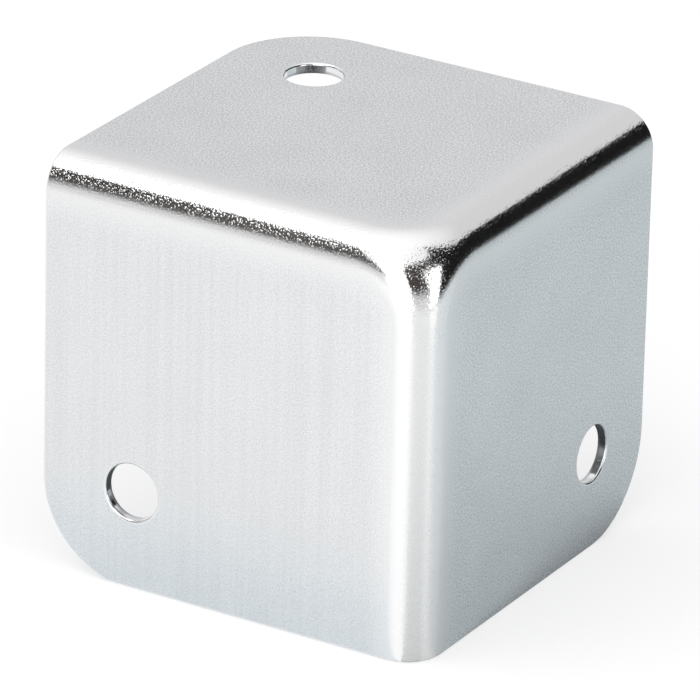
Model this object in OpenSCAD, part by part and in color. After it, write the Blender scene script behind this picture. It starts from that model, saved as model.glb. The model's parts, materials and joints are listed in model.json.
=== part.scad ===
// Case corner: one drawn and punched sheet steel cover for the outside corner of a case.
// Three equal walls run into each other through round bends, which meet in a ball-shaped apex.
// The origin is the point where the three seat planes meet, which is the case's own corner.
// +Z is up; the apex looks along +X, -Y and +Z.

/* [Sheet] */
// Thickness of the sheet
sheet = 1.0; // [0.5:0.1:2]
// Rounding that shearing leaves on the outer rim of every cut edge
edge_roll = 0.25; // [0.1:0.05:0.4]

/* [Walls] */
// Length of each wall, from the outer face of its neighbour to its free edge
leg = 40; // [30:1:80]
// Radius of each wall's free corner
corner_r = 9; // [2:0.5:14]
// Outside radius of the bends
bend_r = 3.6; // [2.5:0.1:8]
// Radius by which each wall's flat rounds off beside the apex
tip_r = 4.2; // [1:0.1:6]

/* [Holes] */
// Diameter of the screw holes
hole_d = 5.5; // [3:0.1:8]
// Distance from a hole's centre to each of the two free edges beside it
hole_inset = 9.5; // [8:0.5:12]

/* [Hidden] */

// Distance from the outer faces to the centre of the ball at the apex, where the bends begin
hub = bend_r + tip_r;
// Outside radius of that ball, which runs smoothly into the bends
ball_r = bend_r + tip_r * sqrt(2);
// Straight length of a free edge, from the bend to the round corner
straight = leg - bend_r - corner_r;
// Side of a wall's square middle, between the rounding at its tip and at its free corner
middle = straight - tip_r;
// Slopes on the apex, from a wall's own direction: where the ball begins, and past its middle
ball_slope = 45;
past_slope = 60;
hole_r = hole_d / 2;
// Extra length of a punch beyond the sheet
overrun = 1;

// Turn that carries one wall to the next, about the diagonal through the apex
diagonal = [1, 1, 1];
walls = 3;
turn = 360 / walls;

$fn = 96;

// Section across a free edge: the outer face lies on the x axis, and its rim is rolled over.
module sheet_section(length) {
    square([length - edge_roll, sheet]);
    translate([0, edge_roll])
        square([length, sheet - edge_roll]);
    translate([length - edge_roll, edge_roll])
        circle(edge_roll);
}

// Round hole through a wall, wider at the outer face by the roll that the punch leaves.
module punched_hole() {
    cylinder(r = hole_r, h = sheet + overrun);
    rotate_extrude()
        difference() {
            translate([0, -overrun])
                square([hole_r + edge_roll, overrun + edge_roll]);
            translate([hole_r + edge_roll, edge_roll])
                circle(edge_roll);
        }
}

// Flat wall with its outer face on the XY plane, from its two bends to its free edges.
module wall() {
    difference() {
        translate([bend_r, bend_r, 0]) {
            translate([tip_r, 0, 0])
                cube([middle, straight, sheet]);
            translate([0, tip_r, 0])
                cube([tip_r, middle, sheet]);
            translate([tip_r, tip_r, 0])
                rotate(180)
                    rotate_extrude(angle = 90)
                        square([tip_r, sheet]);
            translate([0, straight, 0])
                rotate([90, 0, 90])
                    linear_extrude(straight)
                        sheet_section(corner_r);
            translate([straight, straight, 0])
                rotate([90, 0, 0])
                    linear_extrude(straight)
                        sheet_section(corner_r);
            translate([straight, straight, 0])
                rotate_extrude(angle = 90)
                    sheet_section(corner_r);
        }
        translate([leg - hole_inset, leg - hole_inset, 0])
            punched_hole();
    }
}

// Round bend along Z, from the apex to its free end.
module bend() {
    translate([bend_r, bend_r, hub])
        rotate(180)
            rotate_extrude(angle = 90)
                translate([bend_r, 0])
                    rotate(90)
                        sheet_section(leg - hub);
}

// Section of the sheet along an arc, between two slopes from the downward direction.
module arc_section(radius, from, to) {
    far = 2 * radius;
    intersection() {
        difference() {
            circle(radius);
            circle(radius - sheet);
        }
        polygon([[0, 0], far * [sin(from), -cos(from)], far * [sin(to), -cos(to)]]);
    }
}

// Everything below a level plane through the origin, as far as the apex needs.
module below() {
    translate([-2 * hub, -2 * hub, -4 * hub])
        cube(4 * hub);
}

// Third of the apex that belongs to one wall: a ring round the wall's tip leads into the ball.
module apex_third() {
    translate([hub, hub, 0])
        intersection() {
            rotate(180)
                rotate_extrude(angle = 90) {
                    translate([tip_r, bend_r])
                        arc_section(bend_r, 0, ball_slope);
                    translate([0, hub])
                        arc_section(ball_r, ball_slope, past_slope);
                }
            translate([0, 0, hub])
                rotate([0, -45, 0])
                    below();
            translate([0, 0, hub])
                rotate([45, 0, 0])
                    below();
        }
}

module case_corner() {
    color("silver")
        translate([sheet, -sheet, sheet])
            rotate([0, 180, 0])
                for (i = [0 : walls - 1])
                    rotate(i * turn, diagonal) {
                        wall();
                        bend();
                        apex_third();
                    }
}

case_corner();
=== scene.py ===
"""Looks of the case corner: its drawn sheet, its zinc plate and the studio it stands in.

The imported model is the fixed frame, in metres: +Z is up, the apex looks along +X, -Y and +Z, and the
origin is the point where the three seat planes meet. The sheet is drawn again here as one closed mesh
with true normals and with marks for the bends and the cut edges, which the finishes read.
"""
import json
import logging
import math
from dataclasses import dataclass, field
from enum import Enum, IntEnum

import bpy
import numpy as np
from mathutils import Matrix, Vector


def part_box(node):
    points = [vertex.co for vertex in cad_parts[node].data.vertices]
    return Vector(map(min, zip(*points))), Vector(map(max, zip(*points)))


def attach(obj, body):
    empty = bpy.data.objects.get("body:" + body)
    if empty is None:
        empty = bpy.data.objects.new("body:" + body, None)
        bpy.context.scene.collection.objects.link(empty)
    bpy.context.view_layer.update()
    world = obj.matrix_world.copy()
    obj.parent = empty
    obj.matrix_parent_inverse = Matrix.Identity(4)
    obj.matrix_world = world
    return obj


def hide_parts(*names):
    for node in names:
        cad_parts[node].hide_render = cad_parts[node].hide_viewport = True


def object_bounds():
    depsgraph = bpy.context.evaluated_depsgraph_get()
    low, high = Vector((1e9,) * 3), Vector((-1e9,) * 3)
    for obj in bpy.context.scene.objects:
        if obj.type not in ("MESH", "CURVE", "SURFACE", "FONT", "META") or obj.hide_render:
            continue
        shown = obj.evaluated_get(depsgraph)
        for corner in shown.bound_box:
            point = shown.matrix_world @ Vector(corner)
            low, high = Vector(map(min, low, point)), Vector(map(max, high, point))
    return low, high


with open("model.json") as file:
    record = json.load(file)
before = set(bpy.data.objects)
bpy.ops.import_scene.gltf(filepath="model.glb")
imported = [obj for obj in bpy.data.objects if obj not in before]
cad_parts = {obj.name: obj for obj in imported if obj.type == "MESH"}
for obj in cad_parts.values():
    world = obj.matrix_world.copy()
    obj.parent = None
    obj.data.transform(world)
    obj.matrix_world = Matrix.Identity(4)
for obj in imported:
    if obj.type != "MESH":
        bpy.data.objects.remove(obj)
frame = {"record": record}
CAD_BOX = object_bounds()

MM = 0.001
NODE = "case_corner"
BODY = "root"

log = logging.getLogger(NODE)

Pair = tuple[float, float]
Colour = tuple[float, float, float]
Point = tuple[float, float, float]

# Numbers of grid steps along and up a studio card
CARD_STEPS = (24, 2)

# Points under the upright bend from which the cards on the floor spread, in metres
CORNER_FOOT: Pair = (-1.15 * MM, -0.7 * MM)
MIDDLE_FOOT: Pair = (0.35 * MM, 0.5 * MM)
BEND_FOOT: Pair = (0.95 * MM, 2.0 * MM)

# Far ends of the lines that part those cards, in metres
CORNER_FAR: Pair = (0.22, -0.45)
MIDDLE_FAR: Pair = (0.57, -0.17)

# Colours of the cards, from the darkest to the lightest
BLACK: Colour = (0.006, 0.006, 0.006)
DARK: Colour = (0.042, 0.037, 0.033)
GLOOM: Colour = (0.055, 0.049, 0.045)
DUSK: Colour = (0.10, 0.095, 0.09)
UMBRA: Colour = (0.13, 0.14, 0.14)
STONE: Colour = (0.27, 0.29, 0.30)
SLATE: Colour = (0.53, 0.575, 0.59)
FOG: Colour = (0.56, 0.57, 0.57)
SILVER: Colour = (0.70, 0.71, 0.71)
MIST: Colour = (0.71, 0.72, 0.72)
HAZE: Colour = (0.72, 0.76, 0.78)
PAPER: Colour = (0.85, 0.85, 0.85)
PEARL: Colour = (0.86, 0.87, 0.87)
WHITE: Colour = (0.95, 0.95, 0.95)


class Wall(Enum):
    """Walls of the corner; the value is how far a wall's own axes roll onto x, y and z."""

    TOP = 0
    SIDE = 1
    FRONT = 2


class Bend(IntEnum):
    """Bends of the corner, each numbered by the axis that it runs along."""

    TOP_FRONT = 0
    TOP_SIDE = 1
    UPRIGHT = 2


class Side(Enum):
    """Sides of the sheet; the value is the sign of the normal along the outward direction."""

    OUTER = 1.0
    INNER = -1.0


class Finish(IntEnum):
    """Finishes of the sheet, numbered as its material slots are."""

    PLATE = 0
    CUT_EDGE = 1


def smooth_step(value: np.ndarray, low: float, high: float) -> np.ndarray:
    """Gives a cubic ramp from 0 at low to 1 at high, level at both ends.

    Args:
        value: Numbers to be ramped.
        low: Number at which the ramp leaves 0.
        high: Number at which the ramp reaches 1.

    Returns:
        The ramp, in the shape of value.
    """
    share = np.clip((value - low) / (high - low), 0.0, 1.0)
    return share * share * (3.0 - 2.0 * share)


def grid_quads(rows: int, columns: int) -> np.ndarray:
    """Gives the quads of a grid whose points are numbered row by row.

    Args:
        rows: Number of rows of points.
        columns: Number of columns of points.

    Returns:
        Numbers of the points, as quads by 4 corners.
    """
    number = np.arange(rows * columns).reshape(rows, columns)
    corners = [number[:-1, :-1], number[:-1, 1:], number[1:, 1:], number[1:, :-1]]
    return np.stack([corner.ravel() for corner in corners], axis=-1)


def put_in_scene(name: str, data: bpy.types.ID) -> bpy.types.Object:
    """Makes an object at the origin and puts it in the scene.

    Args:
        name: Name of the object.
        data: Its mesh, lamp or camera.

    Returns:
        The object.
    """
    thing = bpy.data.objects.new(name, data)
    bpy.context.scene.collection.objects.link(thing)
    return thing


@dataclass(frozen=True)
class Path:
    """A path on a wall, with a direction to one side of it at each of its points.

    Attributes:
        spine: Points on the wall's first two axes, one row each.
        way: Unit directions on the same axes.
    """

    spine: np.ndarray
    way: np.ndarray

    @classmethod
    def round_corner(cls, centre: float, run: np.ndarray, steps: int, sign: float) -> "Path":
        """Makes a path that comes in beside the second axis, turns a corner and leaves beside the first.

        In words: the spine runs in to the corner's centre, stays there while the direction turns by a right
        angle, and runs out again. The direction starts along the first axis and ends along the second.

        Args:
            centre: Distance of the corner's centre from both axes.
            run: Distances from the first axis on the way in; the way out repeats them backwards.
            steps: Number of steps in the turn.
            sign: 1 for directions away from the axes, and -1 for directions towards them.

        Returns:
            The path.
        """
        turn = np.linspace(0.0, math.pi / 2.0, steps + 1)
        level = np.full(run.size + steps - 1, centre)
        inward = np.concatenate([run, level])
        outward = np.concatenate([level, run[::-1]])
        angle = np.concatenate([np.zeros(run.size), turn[1:-1], np.full(run.size, turn[-1])])
        way = sign * np.stack([np.cos(angle), np.sin(angle)], axis=-1)
        return cls(np.stack([outward, inward], axis=-1), way)

    def beside(self, reach: np.ndarray | float) -> np.ndarray:
        """Gives the lines beside the path: the spine plus each reach along the directions.

        Args:
            reach: Distances from the spine, one for each line.

        Returns:
            Points on the wall's first two axes, as lines by columns by 2.
        """
        return self.spine + np.atleast_1d(reach)[:, None, None] * self.way


@dataclass(frozen=True)
class Core:
    """Points that both faces of the sheet are measured from, on a wall's own axes.

    A point of the sheet is a foot plus the outside bend radius, less the depth, in the outward direction.

    Attributes:
        feet: Points with a last axis of 3.
        outward: Unit directions out of the sheet's outer face, in the same shape.
    """

    feet: np.ndarray
    outward: np.ndarray


@dataclass(frozen=True)
class CutEdge:
    """A cut edge of one wall.

    Attributes:
        path: Path beside the edge, whose directions point out of the sheet and into the open.
        offset: Distance from the path to the edge.
        outward: Unit directions out of the sheet's outer face, one for each point of the path.
    """

    path: Path
    offset: float
    outward: np.ndarray


@dataclass(frozen=True)
class Patch:
    """One grid of the sheet's surface.

    Attributes:
        points: Places of the grid's points, as rows by columns by 3.
        normals: Unit normals there, in the same shape.
        marks: What the finishes read, by name, each as rows by columns.
        finish: Finish of the whole grid.
    """

    points: np.ndarray
    normals: np.ndarray
    marks: dict[str, np.ndarray]
    finish: Finish

    def quads(self) -> np.ndarray:
        """Gives the grid's quads, wound so that they face along the normals.

        Returns:
            Numbers of the grid's points, as quads by 4 corners.
        """
        quads = grid_quads(*self.points.shape[:2])
        places = self.points.reshape(-1, 3)[quads]
        facing = np.cross(places[:, 2] - places[:, 0], places[:, 3] - places[:, 1])
        wanted = self.normals.reshape(-1, 3)[quads[:, 0]]
        return quads if np.sum(facing * wanted) > 0.0 else quads[:, ::-1]


@dataclass(frozen=True)
class RimProfile:
    """Section of a cut edge from the outer face to the inner one.

    Attributes:
        margin: Distances from the edge into the sheet.
        depth: Depths below the outer face.
        lean: Angles of the normal, 0 out of the outer face and a quarter turn out of the cut.
    """

    margin: np.ndarray
    depth: np.ndarray
    lean: np.ndarray


@dataclass
class DrawnSheet:
    """The case corner itself: one sheet drawn into three walls, punched and trimmed.

    Each wall is made on its own axes: its outer face lies on the first two, its bends lie beside them, and
    the third points into the part. A wall ends at the seams in the middle of its bends and of the apex.

    Attributes:
        leg: Length of a wall outside, from the neighbour's outer face to the free edge.
        sheet: Thickness of the sheet.
        hole_r: Radius of the holes.
        hole_reach: Distance from a neighbour's outer face to a hole's centre.
        bend_r: Outside radius of the bends.
        tip_r: Radius by which a wall's flat rounds off beside the apex.
        corner_r: Radius of a wall's free corner.
        edge_roll: Radius of the roll on the outer rim of a cut.
        burr_break: Radius of the broken edge on the inner rim of a cut.
        apron: Length of flat beside each bend that the die has rubbed, less and less.
        rub_start: Share of a bend's arc, from its seam, past which it is less rubbed.
        burnish_span: Shares of the arc between which the burnish fades.
        peel_span: Shares of the arc between which the coarse skin fades.
        rub_of_bend: How hard the die has burnished each bend, by the axis it runs along.
        peel_of_bend: How coarse each bend's surface is, by the same axis.
        peel_of_apex: How coarse the apex's surface is.
        apex_fade: Half of the length over which a bend's surface goes over into the apex's.
        mill_of_wall: How much of the mill's streaks each wall still shows.
    """

    leg: float
    sheet: float
    hole_r: float
    hole_reach: float
    bend_r: float = 3.6 * MM
    tip_r: float = 4.2 * MM
    corner_r: float = 9.0 * MM
    edge_roll: float = 0.25 * MM
    burr_break: float = 0.05 * MM
    apron: float = 3.0 * MM
    rub_start: float = 0.5
    burnish_span: Pair = (0.3, 1.0)
    peel_span: Pair = (0.15, 0.75)
    rub_of_bend: tuple[float, float, float] = (1.0, 1.0, 0.18)
    peel_of_bend: tuple[float, float, float] = (0.42, 0.13, 0.0)
    peel_of_apex: float = 0.13
    apex_fade: float = 2.0 * MM
    mill_of_wall: tuple[float, float, float] = (0.0, 0.0, 1.0)

    # Numbers of grid steps; the tip's is even, so that the seams of the apex meet in its middle
    arc_steps: int = 14
    apron_steps: int = 6
    wall_steps: int = 40
    tip_steps: int = 28
    ball_steps: int = 10
    corner_steps: int = 28
    ring_steps: int = 10
    roll_steps: int = 8
    break_steps: int = 3
    cut_steps: int = 6

    # Points nearer than this are the same point of a seam
    weld: float = 0.00001 * MM

    # Lean of the outward direction at the seam of a bend
    seam_lean: float = math.pi / 4.0

    @classmethod
    def from_frame(cls) -> "DrawnSheet":
        """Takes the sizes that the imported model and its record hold.

        Returns:
            The sheet, not yet built.
        """
        low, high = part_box(NODE)
        hole = next(mount for mount in frame["record"]["mounts"] if mount["name"] == "top_hole")
        sheet = high.z
        return cls(
            leg=high.z - low.z,
            sheet=sheet,
            hole_r=hole["dims"]["r_mm"] * MM,
            hole_reach=sheet - hole["pos_m"][0],
        )

    @property
    def hub(self) -> float:
        """Distance from the outer faces to the centre of the ball at the apex, where the bends begin."""
        return self.bend_r + self.tip_r

    @property
    def start(self) -> float:
        """Distance from a neighbour's outer face to the end of the rubbed apron."""
        return self.bend_r + self.apron

    def turned(self, vectors: np.ndarray, wall: Wall) -> np.ndarray:
        """Turns directions from a wall's own axes to the frame's: a roll of the axes, then a half turn."""
        return np.roll(vectors, wall.value, axis=-1) * np.array([-1.0, 1.0, -1.0])

    def marks(self, wall: Wall, core: Core) -> dict[str, np.ndarray]:
        """Gives what drawing did to the surface at each point.

        In words: the way along the sheet from the nearest seam is the way past the bend on the flat, plus
        the bend's arc from the seam to the point's own lean. The die has rubbed the sheet up to there and
        some way past it, less and less, and has burnished and coarsened the bend's arc. How much it did so
        depends on the bend, and goes over into what it did to the apex near that.

        Args:
            wall: Wall that the points lie on.
            core: The points.

        Returns:
            How rubbed, how burnished, how coarse and how streaked each point is, 0 to 1.
        """
        x, y = core.feet[..., 0], core.feet[..., 1]
        past_bend = self.tip_r - np.hypot(np.minimum(x - self.hub, 0.0), np.minimum(y - self.hub, 0.0))
        lean = np.arccos(np.clip(-core.outward[..., 2], 0.0, 1.0))
        arc = self.bend_r * self.seam_lean
        from_seam = past_bend + self.bend_r * (self.seam_lean - lean)
        nearest = np.where(y > x, (wall.value + 1) % len(Bend), wall.value)
        away = smooth_step(np.maximum(x, y) - self.hub, -self.apex_fade, self.apex_fade)
        pressure, coarseness = (
            apex + away * (np.array(of_bend)[nearest] - apex)
            for apex, of_bend in ((1.0, self.rub_of_bend), (self.peel_of_apex, self.peel_of_bend))
        )
        burnish_start, burnish_end = (share * arc for share in self.burnish_span)
        peel_start, peel_end = (share * arc for share in self.peel_span)
        rubbed = 1.0 - smooth_step(from_seam, self.rub_start * arc, arc + self.apron)
        return {
            "rubbed": rubbed,
            "burnish": pressure * (1.0 - smooth_step(from_seam, burnish_start, burnish_end)),
            "peel": coarseness * (1.0 - smooth_step(from_seam, peel_start, peel_end)),
            "mill": self.mill_of_wall[wall.value] * (1.0 - rubbed),
        }

    def patch(
        self,
        wall: Wall,
        core: Core,
        depth: np.ndarray,
        normals: np.ndarray,
        finish: Finish,
    ) -> Patch:
        """Makes one grid in the frame from points of the core, with the marks that belong there.

        Args:
            wall: Wall that the grid lies on.
            core: Points that the grid is measured from.
            depth: Depths below the outer face, which broadcast to rows by columns.
            normals: Unit normals on the wall's axes.
            finish: Finish of the grid.

        Returns:
            The patch.
        """
        points = core.feet + (self.bend_r - depth)[..., None] * core.outward
        corner = np.array([self.sheet, -self.sheet, self.sheet])
        marks = self.marks(wall, core)
        marks["depth"] = np.broadcast_to(depth / self.sheet, marks["burnish"].shape)
        return Patch(self.turned(points, wall) + corner, self.turned(normals, wall), marks, finish)

    def face(self, wall: Wall, side: Side, core: Core) -> Patch:
        """Makes one grid of a face, with normals along the outward directions or against them."""
        depth = np.array(0.0 if side is Side.OUTER else self.sheet)
        return self.patch(wall, core, depth, side.value * core.outward, Finish.PLATE)

    def on_wall(self, places: np.ndarray, outward: np.ndarray) -> Core:
        """Lifts points from a wall's first two axes to the core, at the depth of the bends' axes.

        Args:
            places: Points with a last axis of 2.
            outward: Outward directions, which broadcast to the points.

        Returns:
            The core.
        """
        level = np.full_like(places[..., :1], self.bend_r)
        feet = np.concatenate([places, level], axis=-1)
        return Core(feet, np.broadcast_to(outward, feet.shape))

    def bend_path(self, margin: float) -> Path:
        """Gives the path along a wall's two bends and round its tip, inside the free edges by a margin."""
        run = np.linspace(self.leg - margin, self.hub, self.wall_steps + 1)
        return Path.round_corner(self.hub, run, self.tip_steps, -1.0)

    def belt(self, margin: float) -> Core:
        """Gives the belt of a wall along its two bends and round its tip.

        In words: each row keeps one distance from the path, out to the bend's axis or short of it on the
        apron, and one lean, half a right angle at the seam and nothing on the flat. On the straight parts
        this is the half of a round bend, and round the tip it is part of a ring.

        Args:
            margin: Distance between the belt's two ends and the free edges.

        Returns:
            The core, as rows by columns.
        """
        path = self.bend_path(margin)
        lean = np.linspace(self.seam_lean, 0.0, self.arc_steps + 1)
        flat = np.linspace(0.0, self.apron, self.apron_steps + 1)
        reach = self.tip_r - np.concatenate([np.zeros_like(lean), flat[1:]])
        lean = np.concatenate([lean, np.zeros_like(flat[1:])])[:, None, None]
        across = np.sin(lean) * path.way
        down = np.broadcast_to(-np.cos(lean), across[..., :1].shape)
        return self.on_wall(path.beside(reach), np.concatenate([across, down], axis=-1))

    def ball(self) -> Core:
        """Gives the third of the ball at the apex that belongs to a wall.

        In words: the lean goes on from the ring's end to the seam with the nearer neighbour, where the
        outward direction leans as far from that wall as from this one.

        Returns:
            The core, as rows of lean by columns of turn; at both ends the rows meet in one point.
        """
        turn = np.linspace(0.0, math.pi / 2.0, self.tip_steps + 1)
        seam = np.arctan(1.0 / np.maximum(np.cos(turn), np.sin(turn)))
        share = np.linspace(0.0, 1.0, self.ball_steps + 1)[:, None]
        lean = self.seam_lean + share * (seam - self.seam_lean)
        across = [np.sin(lean) * np.cos(turn), np.sin(lean) * np.sin(turn)]
        outward = -np.stack([*across, np.cos(lean)], axis=-1)
        return Core(self.hub + self.tip_r * math.sqrt(2.0) * outward, outward)

    def free_path(self, before: np.ndarray) -> Path:
        """Gives the path inside a wall's free edges by the corner's radius.

        Args:
            before: Distances from a neighbour's outer face before the straight part of the edge.

        Returns:
            The path from one bend to the other, round the free corner.
        """
        inner = self.leg - self.corner_r
        run = np.concatenate([before, np.linspace(self.start, inner, self.wall_steps + 1)])
        return Path.round_corner(inner, run, self.corner_steps, 1.0)

    def free_edge(self) -> CutEdge:
        """Gives a wall's free edge, from the seam of one bend to the seam of the other.

        In words: at both ends the path stands still at the bend's axis while the outward direction leans
        from the seam to the flat, then it goes on over the apron.

        Returns:
            The edge.
        """
        lean = np.linspace(self.seam_lean, 0.0, self.arc_steps + 1)
        flat = np.linspace(self.bend_r, self.start, self.apron_steps + 1)
        path = self.free_path(np.concatenate([np.full_like(lean, self.bend_r), flat[1:-1]]))
        rest = np.zeros(len(path.spine) - lean.size)
        towards_first = np.concatenate([lean, rest])
        towards_second = towards_first[::-1]
        level = np.cos(towards_first + towards_second)
        outward = -np.stack([np.sin(towards_second), np.sin(towards_first), level], axis=-1)
        return CutEdge(path, self.corner_r, outward)

    def flat_outline(self, margin: float) -> np.ndarray:
        """Gives the closed outline of a wall's flat inside the aprons, with its free edges drawn in.

        Args:
            margin: Distance between the outline and the free edges.

        Returns:
            Points on the wall's first two axes; the last one repeats the first.
        """
        inner = self.bend_path(margin).beside(self.tip_r - self.apron)[0]
        outer = self.free_path(np.empty(0)).beside(self.corner_r - margin)[0]
        return np.concatenate([inner, outer[1:]])

    def hole_edge(self) -> CutEdge:
        """Gives the hole's edge.

        In words: each point lies on a circle round the hole's centre, in the direction of one point of the
        flat's outline.

        Returns:
            The edge.
        """
        centre = np.full(2, self.hole_reach)
        ray = self.flat_outline(0.0) - centre
        inward = -ray / np.linalg.norm(ray, axis=-1, keepdims=True)
        path = Path(np.broadcast_to(centre, inward.shape), inward)
        return CutEdge(path, -self.hole_r, np.broadcast_to([0.0, 0.0, -1.0], (len(inward), 3)))

    def rim_profile(self) -> RimProfile:
        """Gives the section of a cut: a rolled outer rim, a straight cut and a broken inner edge.

        In words: the roll and the break are quarter circles tangent to the faces and to the cut.

        Returns:
            The section from the outer face to the inner one.
        """
        quarter = math.pi / 2.0
        roll = np.linspace(0.0, quarter, self.roll_steps + 1)
        broken = np.linspace(0.0, quarter, self.break_steps + 1)
        cut = np.linspace(self.edge_roll, self.sheet - self.burr_break, self.cut_steps + 1)[1:-1]
        margin = [
            self.edge_roll * (1.0 - np.sin(roll)),
            np.zeros_like(cut),
            self.burr_break * (1.0 - np.cos(broken)),
        ]
        depth = [
            self.edge_roll * (1.0 - np.cos(roll)),
            cut,
            self.sheet - self.burr_break * (1.0 - np.sin(broken)),
        ]
        lean = [roll, np.full_like(cut, quarter), quarter + broken]
        return RimProfile(np.concatenate(margin), np.concatenate(depth), np.concatenate(lean))

    def cut(self, wall: Wall, edge: CutEdge) -> Patch:
        """Carries the rim's section along a cut edge.

        In words: each row of the grid lies inside the edge by the section's margin and below the outer
        face by its depth, and its normal leans from the outward direction to the edge's own direction.

        Args:
            wall: Wall that the edge lies on.
            edge: Edge to be followed.

        Returns:
            The patch of the cut.
        """
        profile = self.rim_profile()
        core = self.on_wall(edge.path.beside(edge.offset - profile.margin), edge.outward)
        open_way = np.concatenate([edge.path.way, np.zeros_like(edge.path.way[:, :1])], axis=-1)
        lean = profile.lean[:, None, None]
        normals = np.cos(lean) * core.outward + np.sin(lean) * open_way
        return self.patch(wall, core, profile.depth[:, None], normals, Finish.CUT_EDGE)

    def wall_patches(self, wall: Wall) -> list[Patch]:
        """Makes all grids of one wall, with its halves of two bends and its third of the apex.

        In words: the flat is a ring whose rows go straight from the hole's edge to the flat's outline.

        Args:
            wall: Wall to be made.

        Returns:
            The patches of both faces and of the cut edges.
        """
        hole = self.hole_edge()
        share = np.linspace(0.0, 1.0, self.ring_steps + 1)[:, None, None]
        patches = [self.cut(wall, self.free_edge()), self.cut(wall, hole)]
        for side, margin in ((Side.OUTER, self.edge_roll), (Side.INNER, self.burr_break)):
            rim = hole.path.beside(hole.offset - margin)
            ring = (1.0 - share) * rim + share * self.flat_outline(margin)
            flat = self.on_wall(ring, hole.outward)
            patches += [self.face(wall, side, core) for core in (self.ball(), self.belt(margin), flat)]
        return patches

    def mesh(self) -> bpy.types.Mesh:
        """Welds the grids of the three walls into one closed mesh with true normals and marks.

        Returns:
            The mesh, with one attribute for each mark.
        """
        patches = [patch for wall in Wall for patch in self.wall_patches(wall)]
        points = np.concatenate([patch.points.reshape(-1, 3) for patch in patches])
        normals = np.concatenate([patch.normals.reshape(-1, 3) for patch in patches])
        grids = [patch.quads() for patch in patches]
        sizes = [patch.points[..., 0].size for patch in patches]
        quads = np.concatenate([grid + first for grid, first in zip(grids, np.cumsum([0, *sizes]))])
        finish = np.repeat([int(patch.finish) for patch in patches], [len(grid) for grid in grids])
        keys = np.round(points / self.weld).astype(np.int64)
        _, kept, number = np.unique(keys, axis=0, return_index=True, return_inverse=True)
        corners = number.reshape(-1)[quads]

        # A quad with two corners in one point is a triangle
        differs = corners != np.roll(corners, -1, axis=1)
        sides = differs.sum(axis=1)
        mesh = bpy.data.meshes.new("drawn_sheet")
        mesh.vertices.add(len(kept))
        mesh.vertices.foreach_set("co", points[kept].ravel())
        mesh.loops.add(int(sides.sum()))
        mesh.loops.foreach_set("vertex_index", corners[differs].astype(np.int32))
        mesh.polygons.add(len(quads))
        mesh.polygons.foreach_set("loop_start", np.cumsum([0, *sides[:-1]]).astype(np.int32))
        mesh.polygons.foreach_set("material_index", finish.astype(np.int32))
        mesh.polygons.foreach_set("use_smooth", np.ones(len(quads), dtype=bool))
        mesh.update(calc_edges=True)
        for name in patches[0].marks:
            values = np.concatenate([patch.marks[name].ravel() for patch in patches])
            mark = mesh.attributes.new(name, "FLOAT", "POINT")
            mark.data.foreach_set("value", values[kept].astype(np.float32))
        mesh.normals_split_custom_set(normals[quads][differs].tolist())
        mesh.update()
        return mesh

    def build(self) -> bpy.types.Object:
        """Makes the sheet's object, dresses it and sets it in the frame in place of the CAD node.

        Returns:
            The piece.
        """
        piece = put_in_scene("drawn_sheet", self.mesh())
        for finish in (ZincPlate(), ShearedEdge()):
            piece.data.materials.append(finish.material())
        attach(piece, BODY)
        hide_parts(NODE)
        return piece


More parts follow.
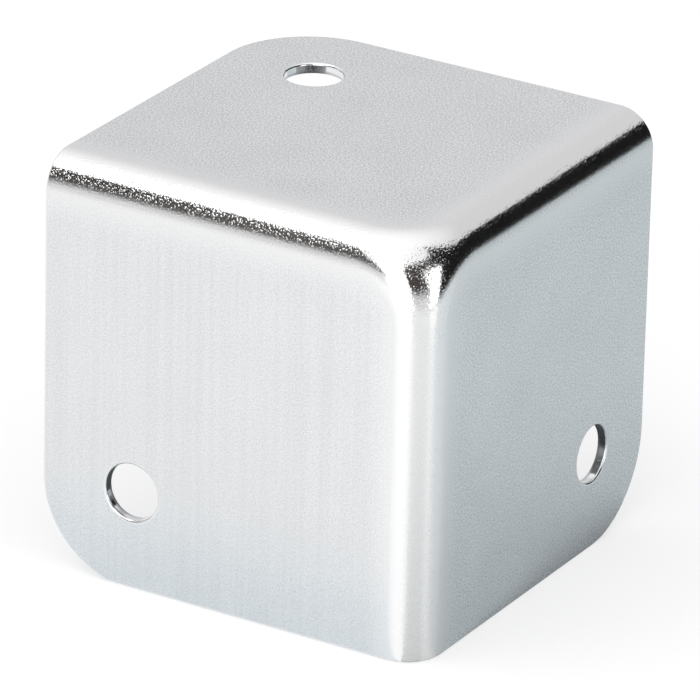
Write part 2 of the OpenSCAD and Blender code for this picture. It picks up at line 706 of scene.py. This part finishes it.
class NodeTree:
    """Places and joins the nodes of one shader tree."""

    def __init__(self, tree: bpy.types.NodeTree) -> None:
        """Takes a tree and clears it."""
        self.tree = tree
        tree.nodes.clear()

    @classmethod
    def of_material(cls, name: str) -> tuple[bpy.types.Material, "NodeTree"]:
        """Makes a material with an empty tree.

        Args:
            name: Name of the material.

        Returns:
            The material and its tree.
        """
        material = bpy.data.materials.new(name)
        material.use_nodes = True
        return material, cls(material.node_tree)

    def add(self, kind: str, inputs: dict | None = None, **settings: object) -> bpy.types.Node:
        """Places a node.

        Args:
            kind: Blender's name for the node's type, without its ShaderNode start.
            inputs: Values or output sockets for the node's inputs, by name or number.
            settings: Values for the node's own properties.

        Returns:
            The new node.
        """
        prefix = "" if kind.startswith("Node") else "ShaderNode"
        node = self.tree.nodes.new(prefix + kind)
        for name, value in settings.items():
            setattr(node, name, value)
        for key, value in (inputs or {}).items():
            if isinstance(value, bpy.types.NodeSocket):
                self.tree.links.new(value, node.inputs[key])
            else:
                node.inputs[key].default_value = value
        return node

    def math(self, operation: str, *values: object) -> bpy.types.NodeSocket:
        """Places a Math node and gives its output."""
        inputs = dict(enumerate(values))
        return self.add("Math", inputs, operation=operation).outputs[0]

    def mark(self, name: str) -> bpy.types.NodeSocket:
        """Reads one of the marks on the mesh."""
        return self.add("Attribute", attribute_name=name).outputs["Fac"]

    def ramp(self, value: bpy.types.NodeSocket, start: Pair, end: Pair) -> bpy.types.NodeSocket:
        """Maps a value linearly, with clamped ends.

        Args:
            value: Socket to be mapped.
            start: Value at the low end and the number that it becomes.
            end: Value at the high end and the number that it becomes.

        Returns:
            The mapped value.
        """
        inputs = {
            "Value": value,
            "From Min": start[0],
            "From Max": end[0],
            "To Min": start[1],
            "To Max": end[1],
        }
        return self.add("MapRange", inputs).outputs["Result"]

    def blend(self, factor: bpy.types.NodeSocket, low: object, high: object) -> bpy.types.NodeSocket:
        """Blends two colours.

        Args:
            factor: Socket with the second colour's share.
            low: First colour, or a socket that holds it.
            high: Second colour, or a socket that holds it.

        Returns:
            The blended colour.
        """
        node = self.add("Mix", {"Factor": factor}, data_type="RGBA")
        sockets = {socket.identifier: socket for socket in (*node.inputs, *node.outputs)}
        for name, colour in (("A_Color", low), ("B_Color", high)):
            if isinstance(colour, bpy.types.NodeSocket):
                self.tree.links.new(colour, sockets[name])
            else:
                sockets[name].default_value = (*colour, 1.0)
        return sockets["Result_Color"]

    def noise(self, vector: bpy.types.NodeSocket, scale: Point, detail: float) -> bpy.types.NodeSocket:
        """Gives noise with its own number of cells per metre along each axis.

        Args:
            vector: Coordinates to be read.
            scale: Cells per metre along x, y and z.
            detail: Number of finer layers.

        Returns:
            The noise, about 0 to 1 round a half.
        """
        mapped = self.add("Mapping", {"Vector": vector, "Scale": scale})
        inputs = {"Vector": mapped.outputs[0], "Scale": 1.0, "Detail": detail}
        return self.add("TexNoise", inputs).outputs[0]


@dataclass(frozen=True)
class PlateGrain:
    """Grain of the zinc, which every finish of the sheet shows.

    Attributes:
        crystals: Crystals per metre along each axis.
        crystal_detail: Number of finer layers in the crystals.
        clouds: Faint clouds per metre along each axis.
        cloud_detail: Number of finer layers in the clouds.
        cloud_share: Share of the clouds in the tint.
    """

    crystals: Point = (6000.0, 6000.0, 6000.0)
    crystal_detail: float = 1.0
    clouds: Point = (160.0, 160.0, 160.0)
    cloud_detail: float = 3.0
    cloud_share: float = 0.1

    def group(self) -> bpy.types.NodeTree:
        """Makes the grain's node group, once, for all finishes.

        In words: fine crystals give a height, and crystals and faint clouds together give a tint.

        Returns:
            The group, with Object coordinates in, and Height and Tint out, each round a half.
        """
        name = "plate_grain"
        if name in bpy.data.node_groups:
            return bpy.data.node_groups[name]
        group = bpy.data.node_groups.new(name, "ShaderNodeTree")
        group.interface.new_socket("Vector", in_out="INPUT", socket_type="NodeSocketVector")
        group.interface.new_socket("Height", in_out="OUTPUT", socket_type="NodeSocketFloat")
        group.interface.new_socket("Tint", in_out="OUTPUT", socket_type="NodeSocketFloat")
        nodes = NodeTree(group)
        vector = nodes.add("NodeGroupInput").outputs["Vector"]
        crystals = nodes.noise(vector, self.crystals, self.crystal_detail)
        clouds = nodes.noise(vector, self.clouds, self.cloud_detail)
        crystal_part = nodes.math("MULTIPLY", crystals, 1.0 - self.cloud_share)
        cloud_part = nodes.math("MULTIPLY", clouds, self.cloud_share)
        tint = nodes.math("ADD", crystal_part, cloud_part)
        nodes.add("NodeGroupOutput", {"Height": crystals, "Tint": tint})
        return group


@dataclass(frozen=True)
class ZincPlate:
    """Bright zinc on the faces: satin on the flat walls, burnished and coarsened where it was drawn.

    Attributes:
        light: Colour of the lightest crystals.
        dark: Colour of the darkest crystals.
        tint_span: Tints of the grain that take the darkest and the lightest colour.
        bright: Colour where the die has rubbed the plate.
        inside_shade: Share of its colour that the plate keeps on its inner face, a painted shade for the
            shaded inside of the part.
        satin: Roughness of the flat walls.
        burnished: Roughness where the die has burnished the plate.
        patchy: How much the crystals change the roughness of the flat walls.
        patchy_rubbed: How much they change it where the die has rubbed the plate.
        grain_height: Height of the crystals on the bends, in metres.
        stretch: Share of that height on the flat walls.
        peel_height: Height of the coarse skin's beads on the drawn bends, in metres.
        peel_cells: Cells of that skin per metre, along each axis.
        bead_span: Noise at the foot and at the crown of a bead.
        streak: Share of the dark colour that the mill's streaks add at most.
        streak_cells: Streaks per metre along x, y and z.
        streak_detail: Number of finer layers in the streaks.
        streak_span: Noise at which a streak sets in and at which it is full.
        milled: Share of the crystals' contrast that is left where the mill's streaks are.
    """

    light: Colour = (0.875, 0.885, 0.895)
    dark: Colour = (0.615, 0.625, 0.635)
    tint_span: Pair = (0.40, 0.60)
    bright: Colour = (0.83, 0.83, 0.83)
    inside_shade: float = 0.55
    satin: float = 0.34
    burnished: float = 0.12
    patchy: float = 0.4
    patchy_rubbed: float = 0.2
    grain_height: float = 0.006 * MM
    stretch: float = 0.3
    peel_height: float = 0.06 * MM
    peel_cells: Point = (6000.0, 6000.0, 6000.0)
    bead_span: Pair = (0.59, 0.87)
    streak: float = 0.14
    streak_cells: Point = (1800.0, 1800.0, 30.0)
    streak_detail: float = 2.0
    streak_span: Pair = (0.4, 0.75)
    milled: float = 0.4

    def material(self) -> bpy.types.Material:
        """Makes the material.

        In words: the crystals set the colour and the roughness of the walls, less so under the mill's
        streaks, and both go over into those of the rubbed and the burnished plate by the sheet's marks.
        Crystals and beads give the relief.

        Returns:
            The material.
        """
        material, nodes = NodeTree.of_material("zinc_plate")
        vector = nodes.add("TexCoord").outputs["Object"]
        grain = nodes.add("Group", {"Vector": vector}, node_tree=PlateGrain().group())
        burnish = nodes.mark("burnish")
        rubbed = nodes.mark("rubbed")
        mill = nodes.mark("mill")

        streaks = nodes.noise(vector, self.streak_cells, self.streak_detail)
        faint, full = self.streak_span
        streaked = nodes.math("MULTIPLY", nodes.ramp(streaks, (faint, 0.0), (full, self.streak)), mill)
        darkest, lightest = self.tint_span
        tint = nodes.ramp(grain.outputs["Tint"], (darkest, -0.5), (lightest, 0.5))
        calm = nodes.ramp(mill, (0.0, 1.0), (1.0, self.milled))
        crystals = nodes.math("MULTIPLY_ADD", tint, calm, 0.5)
        satin = nodes.blend(nodes.math("SUBTRACT", crystals, streaked), self.dark, self.light)
        colour = nodes.blend(rubbed, satin, self.bright)
        # Painted shade: the inner face keeps only a share of the plate's colour, standing for the shade
        # inside the part
        kept = nodes.ramp(nodes.mark("depth"), (0.0, 1.0), (1.0, self.inside_shade))
        shaded = nodes.add("VectorMath", {0: colour, "Scale": kept}, operation="SCALE").outputs[0]

        gloss = nodes.ramp(burnish, (0.0, self.satin), (1.0, self.burnished))
        contrast = nodes.ramp(rubbed, (0.0, self.patchy), (1.0, self.patchy_rubbed))
        patches = nodes.math("MULTIPLY", nodes.math("SUBTRACT", grain.outputs["Height"], 0.5), contrast)

        stretched = nodes.ramp(burnish, (0.0, self.stretch), (1.0, 1.0))
        relief = nodes.math("MULTIPLY", grain.outputs["Height"], stretched)
        fine = nodes.add("Bump", {"Height": relief, "Distance": self.grain_height})
        cells = nodes.noise(vector, self.peel_cells, 0.0)
        bare, crown = self.bead_span
        skin = nodes.ramp(cells, (bare, 0.0), (crown, 1.0))
        height = nodes.math("MULTIPLY", skin, nodes.mark("peel"))
        inputs = {"Height": height, "Distance": self.peel_height, "Normal": fine.outputs[0]}
        coarse = nodes.add("Bump", inputs)
        shader = nodes.add(
            "BsdfPrincipled",
            {
                "Base Color": shaded,
                "Metallic": 1.0,
                "Roughness": nodes.math("ADD", gloss, patches),
                "Normal": coarse.outputs[0],
            },
        )
        nodes.add("OutputMaterial", {"Surface": shader.outputs[0]})
        return material


@dataclass(frozen=True)
class ShearedEdge:
    """Zinc over a sheared edge: a polished band near the outer face and a torn band below it.

    Attributes:
        light: Colour of the polished band.
        dark: Colour of the torn band.
        polished: Roughness of the polished band.
        torn: Roughness of the torn band.
        tear: Depths in the sheet between which the tear sets in, 0 to 1.
        unevenness: Depth by which the tear wanders, 0 to 1.
        tear_height: Height of the torn band's tooth, in metres.
    """

    light: Colour = (0.80, 0.81, 0.82)
    dark: Colour = (0.58, 0.59, 0.60)
    polished: float = 0.14
    torn: float = 0.34
    tear: Pair = (0.75, 0.9)
    unevenness: float = 0.2
    tear_height: float = 0.01 * MM

    def material(self) -> bpy.types.Material:
        """Makes the material.

        In words: the depth below the outer face, made to wander by the grain, says where the tear sets in.

        Returns:
            The material.
        """
        material, nodes = NodeTree.of_material("sheared_edge")
        vector = nodes.add("TexCoord").outputs["Object"]
        grain = nodes.add("Group", {"Vector": vector}, node_tree=PlateGrain().group())
        wander = nodes.math("MULTIPLY", grain.outputs["Tint"], self.unevenness)
        depth = nodes.math("ADD", nodes.mark("depth"), wander)
        torn = nodes.ramp(depth, (self.tear[0], 0.0), (self.tear[1], 1.0))
        height = nodes.math("MULTIPLY", grain.outputs["Height"], torn)
        bump = nodes.add("Bump", {"Height": height, "Distance": self.tear_height})
        shader = nodes.add(
            "BsdfPrincipled",
            {
                "Base Color": nodes.blend(torn, self.light, self.dark),
                "Metallic": 1.0,
                "Roughness": nodes.ramp(torn, (0.0, self.polished), (1.0, self.torn)),
                "Normal": bump.outputs[0],
            },
        )
        nodes.add("OutputMaterial", {"Surface": shader.outputs[0]})
        return material


@dataclass(frozen=True)
class PaleFloor:
    """Pale studio floor: white paper that partly glows for the eye and for the metal, and keeps the shadow.

    Attributes:
        colour: Colour of the paper.
        glow: Share of plain white in what the eye and the metal see.
        half_width: Half of the floor's width, in metres.
    """

    colour: Colour = (0.88, 0.88, 0.88)
    glow: float = 0.55
    half_width: float = 3.0

    def material(self) -> bpy.types.Material:
        """Makes the material; its underside is clear, so that the part can be seen from below.

        Returns:
            The material.
        """
        material, nodes = NodeTree.of_material("pale_floor")
        path = nodes.add("LightPath").outputs
        seen = nodes.math("MAXIMUM", path["Is Camera Ray"], path["Is Glossy Ray"])
        seen = nodes.math("MAXIMUM", seen, path["Is Transmission Ray"])
        paper = nodes.add("BsdfDiffuse", {"Color": (*self.colour, 1.0)})
        white = nodes.add("Emission", {"Color": (1.0, 1.0, 1.0, 1.0), "Strength": 1.0})
        share = nodes.math("MULTIPLY", seen, self.glow)
        top = nodes.add("MixShader", {0: share, 1: paper.outputs[0], 2: white.outputs[0]})
        clear = nodes.add("BsdfTransparent")
        under = nodes.add("NewGeometry").outputs["Backfacing"]
        both = nodes.add("MixShader", {0: under, 1: top.outputs[0], 2: clear.outputs[0]})
        nodes.add("OutputMaterial", {"Surface": both.outputs[0]})
        return material

    def build(self) -> bpy.types.Object:
        """Lays the floor under the part.

        Returns:
            The floor.
        """
        height = CAD_BOX[0].z
        far = self.half_width
        corners = [(-far, -far, height), (far, -far, height), (far, far, height), (-far, far, height)]
        mesh = bpy.data.meshes.new("floor")
        mesh.from_pydata(corners, [], [(0, 1, 2, 3)])
        mesh.materials.append(self.material())
        floor = put_in_scene("floor", mesh)
        return floor


@dataclass(frozen=True)
class Card:
    """Matt card of the studio, which only the metal sees.

    Attributes:
        name: Name of the card.
        colour: Colour of the card.
        foot: Colour at its lower or near edge, or None where the card has one colour.
        fade: Share of its height over which the foot goes over into the colour.
    """

    name: str
    colour: Colour
    foot: Colour | None = field(default=None, kw_only=True)
    fade: float = field(default=1.0, kw_only=True)

    def places(self, along: np.ndarray, up: np.ndarray) -> np.ndarray:
        """Gives the card's points.

        Args:
            along: Shares of the way along the card.
            up: Shares of the way from its lower or near edge to the other one.

        Returns:
            Points with a last axis of 3.
        """
        raise NotImplementedError

    def paint(self, nodes: NodeTree) -> bpy.types.NodeSocket | tuple[float, ...]:
        """Gives the card's colour, which goes over into the foot's towards its lower or near edge.

        Args:
            nodes: Tree of the card's material.

        Returns:
            A colour, or the socket that holds it.
        """
        if self.foot is None:
            return (*self.colour, 1.0)
        rise = nodes.ramp(nodes.mark("rise"), (0.0, 0.0), (self.fade, 1.0))
        return nodes.blend(rise, self.foot, self.colour)

    def build(self) -> bpy.types.Object:
        """Sets the card up: a grid whose points places() gives.

        Returns:
            The card.
        """
        shares = [np.linspace(0.0, 1.0, steps + 1) for steps in CARD_STEPS]
        along, up = np.meshgrid(*shares, indexing="ij")
        points = self.places(along, up)
        quads = grid_quads(*points.shape[:2])[:, ::-1]
        mesh = bpy.data.meshes.new(self.name)
        mesh.from_pydata(points.reshape(-1, 3).tolist(), [], quads.tolist())
        mesh.attributes.new("rise", "FLOAT", "POINT").data.foreach_set("value", up.ravel())
        material, nodes = NodeTree.of_material(self.name)
        matt = nodes.add("BsdfDiffuse", {"Color": self.paint(nodes)})
        nodes.add("OutputMaterial", {"Surface": matt.outputs[0]})
        mesh.materials.append(material)
        card = put_in_scene(self.name, mesh)
        card.visible_camera = False
        card.visible_diffuse = False
        card.visible_shadow = False
        return card


@dataclass(frozen=True)
class Flag(Card):
    """Curved dark card that stands round the part, so that its bends have something dark to show.

    Attributes:
        azimuths: Turns of its two ends round the part in degrees, 0 at the front and 90 at the side.
        low: Elevation of its lower edge at both ends in degrees, seen from the apex.
        high: Elevation of its upper edge at both ends.
        distance: Distance from the apex, in metres.
    """

    azimuths: Pair
    low: Pair
    high: Pair
    distance: float = 0.3

    def places(self, along: np.ndarray, up: np.ndarray) -> np.ndarray:
        """Gives points of a cylinder about the apex.

        In words: the azimuth goes evenly from one end to the other, and the height is the tangent of an
        elevation between the lower and the upper edge's there.

        Args:
            along: Shares of the way from the first end to the last.
            up: Shares of the way from the lower edge to the upper one.

        Returns:
            Points with a last axis of 3.
        """
        azimuth = np.radians(self.azimuths[0] + along * (self.azimuths[1] - self.azimuths[0]))
        low = self.low[0] + along * (self.low[1] - self.low[0])
        high = self.high[0] + along * (self.high[1] - self.high[0])
        height = np.tan(np.radians(low + up * (high - low)))
        return self.distance * np.stack([np.sin(azimuth), -np.cos(azimuth), height], axis=-1)


@dataclass(frozen=True)
class Sheet(Card):
    """Flat card that lies just above the floor.

    Attributes:
        near: First and last corner of its near edge, in metres.
        far: First and last corner of its far edge, in metres.
        lift: Height above the floor, in metres.
    """

    near: tuple[Pair, Pair]
    far: tuple[Pair, Pair]
    lift: float = 0.1 * MM

    def places(self, along: np.ndarray, up: np.ndarray) -> np.ndarray:
        """Gives points of a level four-sided card.

        In words: each point parts the line between two points, which part the near and the far edge alike.

        Args:
            along: Shares of the way along both edges.
            up: Shares of the way from the near edge to the far one.

        Returns:
            Points with a last axis of 3.
        """
        edges = [np.array(edge) for edge in (self.near, self.far)]
        near, far = ((1.0 - along)[..., None] * edge[0] + along[..., None] * edge[1] for edge in edges)
        level = (1.0 - up)[..., None] * near + up[..., None] * far
        height = np.full_like(along, CAD_BOX[0].z + self.lift)
        return np.concatenate([level, height[..., None]], axis=-1)


@dataclass(frozen=True)
class SoftBox:
    """Rectangular soft lamp.

    Attributes:
        name: Name of the lamp.
        place: Where it hangs, in metres.
        aim: Point that it faces.
        size: Its two sides, in metres.
        radiance: Brightness of its face, where 1 is white.
    """

    name: str
    place: Point
    aim: Point
    size: Pair
    radiance: float

    def build(self) -> bpy.types.Object:
        """Hangs the lamp; its power is its radiance times pi times its area.

        Returns:
            The lamp.
        """
        lamp = bpy.data.lights.new(self.name, "AREA")
        lamp.shape = "RECTANGLE"
        lamp.size, lamp.size_y = self.size
        lamp.energy = self.radiance * math.pi * self.size[0] * self.size[1]
        holder = put_in_scene(self.name, lamp)
        holder.location = self.place
        way = Vector(self.aim) - Vector(self.place)
        holder.rotation_euler = way.to_track_quat("-Z", "Y").to_euler()
        holder.visible_camera = False
        return holder


@dataclass(frozen=True)
class ViewCamera:
    """Camera at the photograph's angle.

    Attributes:
        azimuth: Turn round the part in degrees, 0 in front and 90 at the side.
        elevation: Height above the horizon in degrees.
        roll: Turn of the camera about its own axis in degrees.
        distance: Distance from the aim point, in metres.
        aim: Point that the camera looks at, in metres.
        lens: Focal length in millimetres, on a sensor of the usual width.
    """

    azimuth: float = 30.526
    elevation: float = 23.744
    roll: float = 1.393
    distance: float = 697.5 * MM
    aim: Point = (-15.54 * MM, 13.50 * MM, -17.31 * MM)
    lens: float = 398.2

    def build(self) -> bpy.types.Object:
        """Sets the camera up and makes it the scene's own.

        Returns:
            The camera.
        """
        turn = Matrix.Rotation(math.radians(self.azimuth), 4, "Z")
        tilt = Matrix.Rotation(math.radians(90.0 - self.elevation), 4, "X")
        roll = Matrix.Rotation(math.radians(self.roll), 4, "Z")
        back = Matrix.Translation((0.0, 0.0, self.distance))
        camera = put_in_scene("view", bpy.data.cameras.new("view"))
        camera.data.lens = self.lens
        camera.matrix_world = Matrix.Translation(self.aim) @ turn @ tilt @ roll @ back
        bpy.context.scene.camera = camera
        return camera


@dataclass(frozen=True)
class RoomLight:
    """Light of the room: even round the part, and brighter towards one place on the ceiling.

    Attributes:
        wall: Colour of the room's walls, where 1 is white.
        ceiling: Colour of the brightest place on the ceiling.
        pole: Unit direction of that place.
        rise: Cosines of the angle to that place between which the walls go over into the ceiling.
    """

    wall: Colour = (0.76, 0.76, 0.77)
    ceiling: Colour = (1.28, 1.28, 1.28)
    pole: Point = (-0.117, -0.321, 0.940)
    rise: Pair = (0.35, 1.0)

    def build(self) -> bpy.types.World:
        """Gives the scene its world: how near a direction is to the pole sets how bright it is.

        Returns:
            The world.
        """
        world = bpy.data.worlds.new("room")
        world.use_nodes = True
        nodes = NodeTree(world.node_tree)
        way = nodes.add("TexCoord").outputs["Generated"]
        nearness = nodes.add("VectorMath", {0: way, 1: self.pole}, operation="DOT_PRODUCT").outputs["Value"]
        share = nodes.ramp(nearness, (self.rise[0], 0.0), (self.rise[1], 1.0))
        colour = nodes.blend(share, self.wall, self.ceiling)
        light = nodes.add("Background", {"Color": colour, "Strength": 1.0})
        nodes.add("OutputWorld", {"Surface": light.outputs[0]})
        bpy.context.scene.world = world
        return world


@dataclass(frozen=True)
class Studio:
    """Floor, cards, lamps and room light round the part.

    Attributes:
        room: The room's light.
        floor: The floor.
        cards: The cards.
        lamps: The lamps.
    """

    room: RoomLight = RoomLight()
    floor: PaleFloor = PaleFloor()
    cards: tuple[Card, ...] = (
        Flag("left_flag", DARK, (-75.0, -41.5), (3.0, 3.0), (47.0, 45.0), foot=WHITE, fade=0.45),
        Flag("inner_flag", DUSK, (-41.5, -4.0), (3.0, 8.0), (45.0, 16.0), foot=WHITE, fade=0.45),
        Flag("right_flag", GLOOM, (36.0, 86.0), (8.0, 6.0), (47.0, 50.0), foot=PAPER, fade=0.3),
        Flag("back_flag", BLACK, (86.0, 176.0), (-4.0, -4.5), (62.5, 15.0), foot=SLATE, fade=0.12),
        # Painted shade: a grey card beside the side wall, seen only by the metal, stands for the floor in
        # the part's shadow
        Sheet("side_shade_card", SLATE, (BEND_FOOT, (0.0, 2.5)), ((1.5, 0.0), (1.5, 2.5))),
        # Painted contact shadow: darker towards the side wall's foot, seen only by the metal
        Sheet(
            "side_contact_shadow",
            SLATE,
            near=((0.0, 0.003), (0.0, 0.039)),
            far=((0.001, 0.005), (0.0065, 0.041)),
            lift=0.2 * MM,
            foot=STONE,
        ),
        Sheet(
            "corner_card",
            MIST,
            near=(CORNER_FOOT, MIDDLE_FOOT),
            far=(CORNER_FAR, MIDDLE_FAR),
            foot=FOG,
            fade=0.12,
        ),
        Sheet(
            "rim_card",
            PEARL,
            near=(MIDDLE_FOOT, BEND_FOOT),
            far=(MIDDLE_FAR, (0.42, 0.43)),
            foot=SILVER,
            fade=0.12,
        ),
        Sheet("front_card", WHITE, (CORNER_FOOT, CORNER_FOOT), ((-0.2, -0.44), CORNER_FAR)),
        # Painted contact shadow: a darker strip along the front wall's foot, seen only by the metal
        Sheet(
            "front_contact_shadow",
            HAZE,
            near=((-0.05, 0.0), (-0.001, 0.0)),
            far=((-0.05, -0.013), (-0.008, -0.013)),
            lift=0.2 * MM,
        ),
        # Painted shadow: a dark sheet under the part, seen only by the metal, stands for the shaded floor
        # there
        Sheet(
            "shade_under_part",
            UMBRA,
            near=((-0.039, 0.001), (-0.001, 0.001)),
            far=((-0.039, 0.06), (-0.001, 0.06)),
            lift=0.3 * MM,
        ),
    )
    lamps: tuple[SoftBox, ...] = (
        SoftBox("front_lamp", (0.12, -0.48, 0.26), (0.0, 0.0, 0.1), (0.40, 0.60), 1.0),
        SoftBox("top_box", (-0.279, -0.191, 0.496), (0.0, 0.0, 0.0), (0.36, 0.30), 2.2),
        SoftBox("side_strip", (0.2445, -0.052, 0.085), (0.0, 0.0, 0.0), (0.106, 0.19), 1.5),
    )

    def build(self) -> list[bpy.types.ID]:
        """Sets everything up and gives what was made."""
        bpy.context.scene.view_settings.view_transform = "Standard"
        return [thing.build() for thing in (self.room, self.floor, *self.cards, *self.lamps)]


def main() -> None:
    """Builds the part and its studio and reports each piece."""
    logging.basicConfig(level=logging.INFO, format="%(name)s: %(message)s")
    sheet = DrawnSheet.from_frame().build()
    log.info("%s: %d faces", sheet.name, len(sheet.data.polygons))
    for thing in Studio().build():
        log.info("stage: %s", thing.name)
    ViewCamera().build()


if __name__ == "__main__":
    main()
